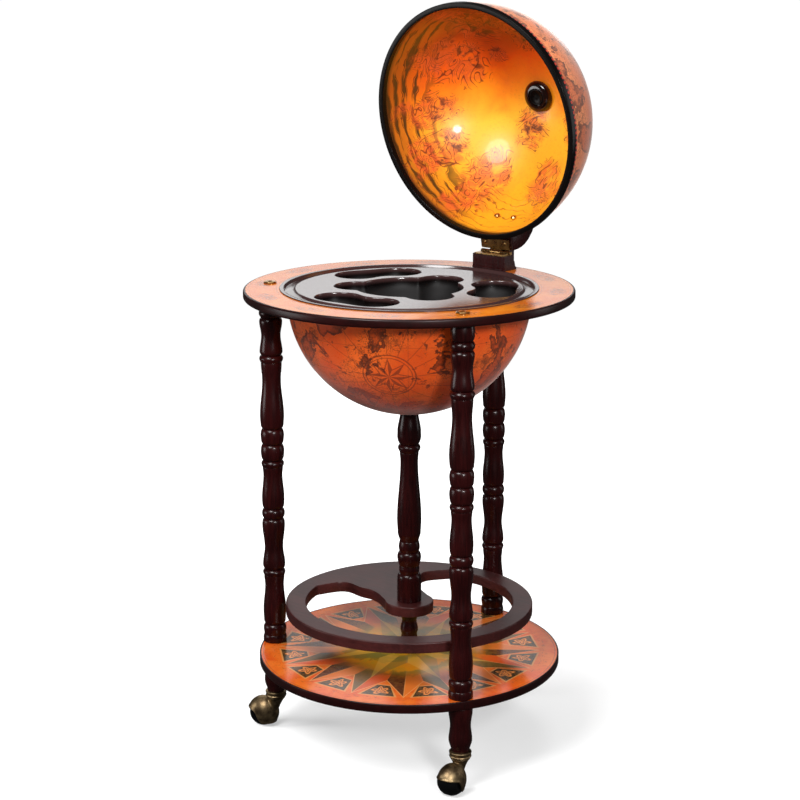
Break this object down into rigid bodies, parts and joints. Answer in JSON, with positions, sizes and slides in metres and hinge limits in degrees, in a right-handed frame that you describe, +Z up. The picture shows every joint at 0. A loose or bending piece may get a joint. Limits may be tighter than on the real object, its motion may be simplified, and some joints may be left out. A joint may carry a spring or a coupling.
{
  "type": "globe bar",
  "caption": "Standing globe bar on turned legs and hooded casters, with a hinged hemisphere lid, a formed serving tray, a bottle gallery and a printed shelf.",
  "frame": {"origin": "on the floor under the centre of the object's box with the lid open", "axes": "+Z up, -Y the front, where the lid opens; +X to the right seen from the front"},
  "size_m": [0.445, 0.5362, 1.0145],
  "materials": {
    "mahogany": "satin lacquer, dark red-brown",
    "printed_ring": "printed paper under clear lacquer, dark moulded edge",
    "printed_shelf": "printed paper under clear lacquer, dark moulded edge",
    "globe_outside": "printed map under clear lacquer",
    "tray_plastic": "formed sheet, half gloss",
    "black_trim": "black edging",
    "brown_plastic": "dark brown, glossy",
    "brass": "lacquered brass",
    "antique_brass": "antique brass",
    "steel": "zinc-plated steel",
    "caster_rubber": "black rubber"
  },
  "bodies": {
    "stand": {"horizon_ring": "printed_ring", "leg_back": "mahogany", "leg_left": "mahogany", "leg_right": "mahogany", "foot_back": "mahogany", "foot_left": "mahogany", "foot_right": "mahogany", "leg_stud_back": "steel", "leg_stud_left": "steel", "leg_stud_right": "steel", "ring_bolt_left": "brass", "ring_bolt_right": "brass", "riser_stud": "steel", "bottle_shelf": "printed_shelf", "bottle_gallery": "mahogany", "column_upper": "mahogany", "column_lower": "mahogany", "column_stud": "steel", "shelf_screw": "brass", "globe_bowl": "globe_outside", "bowl_bolt": "steel", "serving_tray": "tray_plastic", "hinge_riser": "mahogany", "hinge_leaf_lower": "brass", "hinge_pin": "brass", "leaf_screw_lower_left": "brass", "leaf_screw_lower_right": "brass", "caster_socket_back": "antique_brass", "caster_socket_left": "antique_brass", "caster_socket_right": "antique_brass"},
    "lid": {"globe_lid": "globe_outside", "lid_trim": "black_trim", "lid_boss": "brown_plastic", "boss_cap": "black_trim", "pole_knob": "brass", "hinge_block": "mahogany", "hinge_leaf_upper": "brass", "leaf_screw_upper_left": "brass", "leaf_screw_upper_right": "brass", "block_screw_left": "brass", "block_screw_right": "brass"},
    "caster_back": {"caster_hood_back": "antique_brass", "caster_axle_back": "steel"},
    "wheel_back": {"caster_wheel_back": "caster_rubber"},
    "caster_left": {"caster_hood_left": "antique_brass", "caster_axle_left": "steel"},
    "wheel_left": {"caster_wheel_left": "caster_rubber"},
    "caster_right": {"caster_hood_right": "antique_brass", "caster_axle_right": "steel"},
    "wheel_right": {"caster_wheel_right": "caster_rubber"}
  },
  "joints": [
    {"name": "lid_hinge", "type": "hinge", "parent": "stand", "child": "lid", "pos_m": [0, 0.14716, 0.6631], "axis": [1, 0, 0], "range_deg": [0, 80.4]},
    {"name": "swivel_back", "type": "hinge", "parent": "stand", "child": "caster_back", "pos_m": [0, 0.14566, 0.05], "axis": [0, 0, 1], "continuous": true},
    {"name": "roll_back", "type": "hinge", "parent": "caster_back", "child": "wheel_back", "pos_m": [-0.01879, 0.13882, 0.0195], "axis": [0.342, -0.9397, 0], "continuous": true},
    {"name": "swivel_left", "type": "hinge", "parent": "stand", "child": "caster_left", "pos_m": [-0.16567, -0.14129, 0.05], "axis": [0, 0, 1], "continuous": true},
    {"name": "roll_left", "type": "hinge", "parent": "caster_left", "child": "wheel_left", "pos_m": [-0.1849, -0.1468, 0.0195], "axis": [0.2756, -0.9613, 0], "continuous": true},
    {"name": "swivel_right", "type": "hinge", "parent": "stand", "child": "caster_right", "pos_m": [0.16567, -0.14129, 0.05], "axis": [0, 0, 1], "continuous": true},
    {"name": "roll_right", "type": "hinge", "parent": "caster_right", "child": "wheel_right", "pos_m": [0.16707, -0.16124, 0.0195], "axis": [0.9976, 0.0698, 0], "continuous": true}
  ]
}
